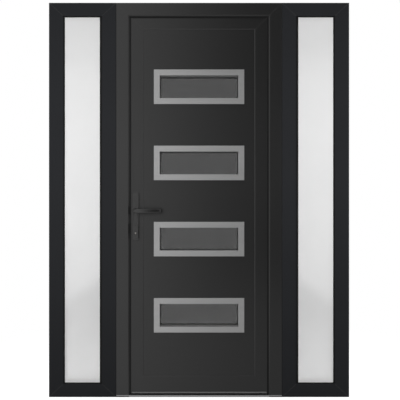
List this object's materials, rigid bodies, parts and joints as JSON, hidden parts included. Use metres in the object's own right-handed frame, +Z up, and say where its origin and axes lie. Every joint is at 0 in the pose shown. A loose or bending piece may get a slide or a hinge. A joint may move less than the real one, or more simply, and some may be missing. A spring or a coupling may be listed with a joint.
{
  "type": "entrance door with two sidelights",
  "caption": "Inward-opening entrance door leaf with small windows, a lever handle and a fixed glazed sidelight on each side.",
  "frame": {"origin": "middle of the flat underside of the sill, at half the depth of the frame", "axes": "+X to the right seen from outside, +Y from outside to inside, +Z up"},
  "size_m": [1.637, 0.196, 2.15],
  "materials": {
    "sidelight_paint": "satin powder coat",
    "frame_paint": "satin powder coat",
    "leaf_paint": "satin powder coat",
    "trim_metal": "fine brushed",
    "handle_metal": "satin",
    "nickel": "satin nickel",
    "steel": "brushed",
    "hinge_metal": "satin powder coat",
    "sill_metal": "mill finish",
    "drip_metal": "dark anodised",
    "packer": "matt",
    "window_glass": "clear, dark behind",
    "frosted_glass": "frosted",
    "spacer": "satin",
    "rubber": "matt"
  },
  "bodies": {
    "frame": {"left_jamb": "frame_paint", "right_jamb": "frame_paint", "door_head": "frame_paint", "threshold": "sill_metal", "threshold_strip": "rubber", "threshold_end_packers": "packer", "frame_weather_seal": "rubber", "strike_plates": "steel", "frame_hinge_brackets": "hinge_metal", "hinge_pins": "hinge_metal", "left_sidelight_outer_stile": "sidelight_paint", "left_sidelight_inner_stile": "sidelight_paint", "left_sidelight_top_rail": "sidelight_paint", "left_sidelight_bottom_rail": "sidelight_paint", "left_sidelight_panes": "frosted_glass", "left_sidelight_spacer": "spacer", "left_sidelight_gaskets": "rubber", "left_sidelight_glazing_beads": "sidelight_paint", "right_sidelight_outer_stile": "sidelight_paint", "right_sidelight_inner_stile": "sidelight_paint", "right_sidelight_top_rail": "sidelight_paint", "right_sidelight_bottom_rail": "sidelight_paint", "right_sidelight_panes": "frosted_glass", "right_sidelight_spacer": "spacer", "right_sidelight_gaskets": "rubber", "right_sidelight_glazing_beads": "sidelight_paint"},
    "leaf": {"leaf_lock_stile": "leaf_paint", "leaf_hinge_stile": "leaf_paint", "leaf_top_rail": "leaf_paint", "leaf_bottom_rail": "leaf_paint", "door_panel": "leaf_paint", "panel_beads": "leaf_paint", "window_trims_outside": "trim_metal", "window_trims_inside": "trim_metal", "window_panes": "window_glass", "window_spacers": "spacer", "drip_bar": "drip_metal", "bottom_seal": "rubber", "leaf_weather_seal": "rubber", "key_cylinder": "nickel", "lock_faceplate": "steel", "outside_handle_plate": "handle_metal", "inside_handle_plate": "handle_metal", "leaf_hinge_brackets": "hinge_metal"},
    "handle": {"outside_lever": "handle_metal", "inside_lever": "handle_metal", "handle_spindle": "nickel"}
  },
  "joints": [
    {"name": "door_swing", "type": "hinge", "parent": "frame", "child": "leaf", "pos_m": [0.4155, 0.062, 1.0525], "axis": [0, 0, -1], "range_deg": [0, 100]},
    {"name": "handle_turn", "type": "hinge", "parent": "leaf", "child": "handle", "pos_m": [-0.346, 0, 1.016], "axis": [0, 1, 0], "range_deg": [0, 45], "stiffness_Nm_per_rad": 1.2, "springref_deg": -28.65}
  ]
}
